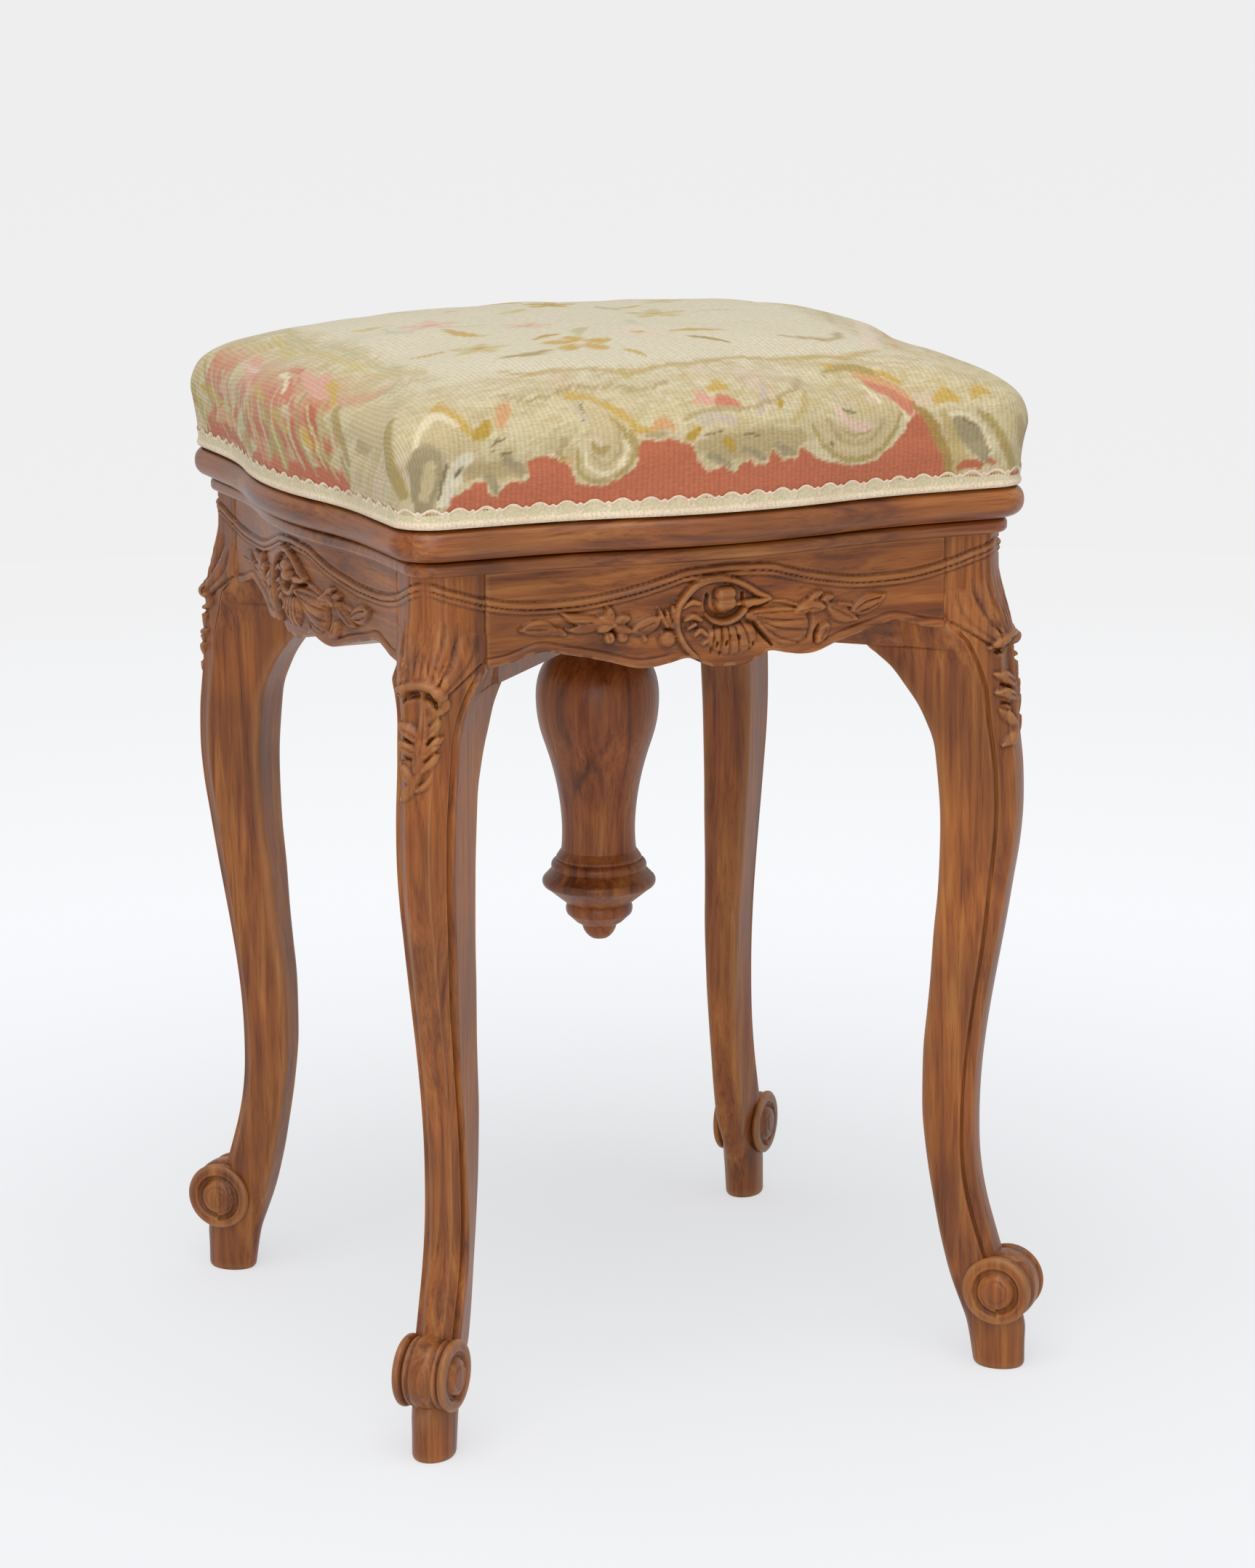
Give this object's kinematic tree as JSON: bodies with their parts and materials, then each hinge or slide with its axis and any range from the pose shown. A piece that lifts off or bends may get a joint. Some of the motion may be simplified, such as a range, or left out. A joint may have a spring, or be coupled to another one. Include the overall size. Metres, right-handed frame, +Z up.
{
  "type": "piano stool",
  "caption": "Square upholstered stool on cabriole legs; the seat turns on a central screw to rise and fall.",
  "frame": {"origin": "centre of the four feet, on the floor", "axes": "+Z up; the front of the stool faces -Y; +X to the right seen from the front"},
  "size_m": [0.3694, 0.3694, 0.5432],
  "materials": {
    "walnut": "satin wax polish",
    "beech": "bare, aged",
    "iron": "dark, oiled",
    "steel_screws": "dull",
    "jute_webbing": "woven",
    "hessian": "plain weave",
    "stuffing": "curled hair",
    "tapestry": "ribbed wool tapestry",
    "braid": "scalloped gimp"
  },
  "bodies": {
    "base": {"leg_front_left": "walnut", "leg_front_right": "walnut", "leg_back_right": "walnut", "leg_back_left": "walnut", "apron_front": "walnut", "apron_right": "walnut", "apron_back": "walnut", "apron_left": "walnut", "base_top": "walnut", "brace_lower": "walnut", "brace_upper": "walnut", "brace_screws": "steel_screws", "screw_nut": "iron", "nut_screws": "steel_screws", "pendant_vase": "walnut", "pendant_screws": "steel_screws", "pendant_finial": "walnut"},
    "stop": {"stop_washer": "iron"},
    "seat": {"seat_rail_front": "walnut", "seat_rail_right": "walnut", "seat_rail_back": "walnut", "seat_rail_left": "walnut", "mitre_splines": "beech", "cross_rail": "beech", "screw_spindle": "iron", "end_stud": "iron", "screw_flange": "iron", "cotter_pin": "iron", "flange_screws": "steel_screws", "cover_tacks": "steel_screws", "webbing_lengthwise": "jute_webbing", "webbing_crosswise": "jute_webbing", "hessian": "hessian", "stuffing_pad": "stuffing", "tapestry_cover": "tapestry", "gimp_braid": "braid"}
  },
  "joints": [
    {"name": "seat_lift", "type": "slide", "parent": "base", "child": "stop", "axis": [0, 0, 1], "range_m": [0, 0.084]},
    {"name": "seat_turn", "type": "hinge", "parent": "stop", "child": "seat", "pos_m": [0, 0, 0.45], "axis": [0, 0, 1], "range_deg": [0, 5040]}
  ],
  "couplings": [
    {"joint": "seat_lift", "follows": "seat_turn", "m_per_rad": 0.00095492}
  ]
}
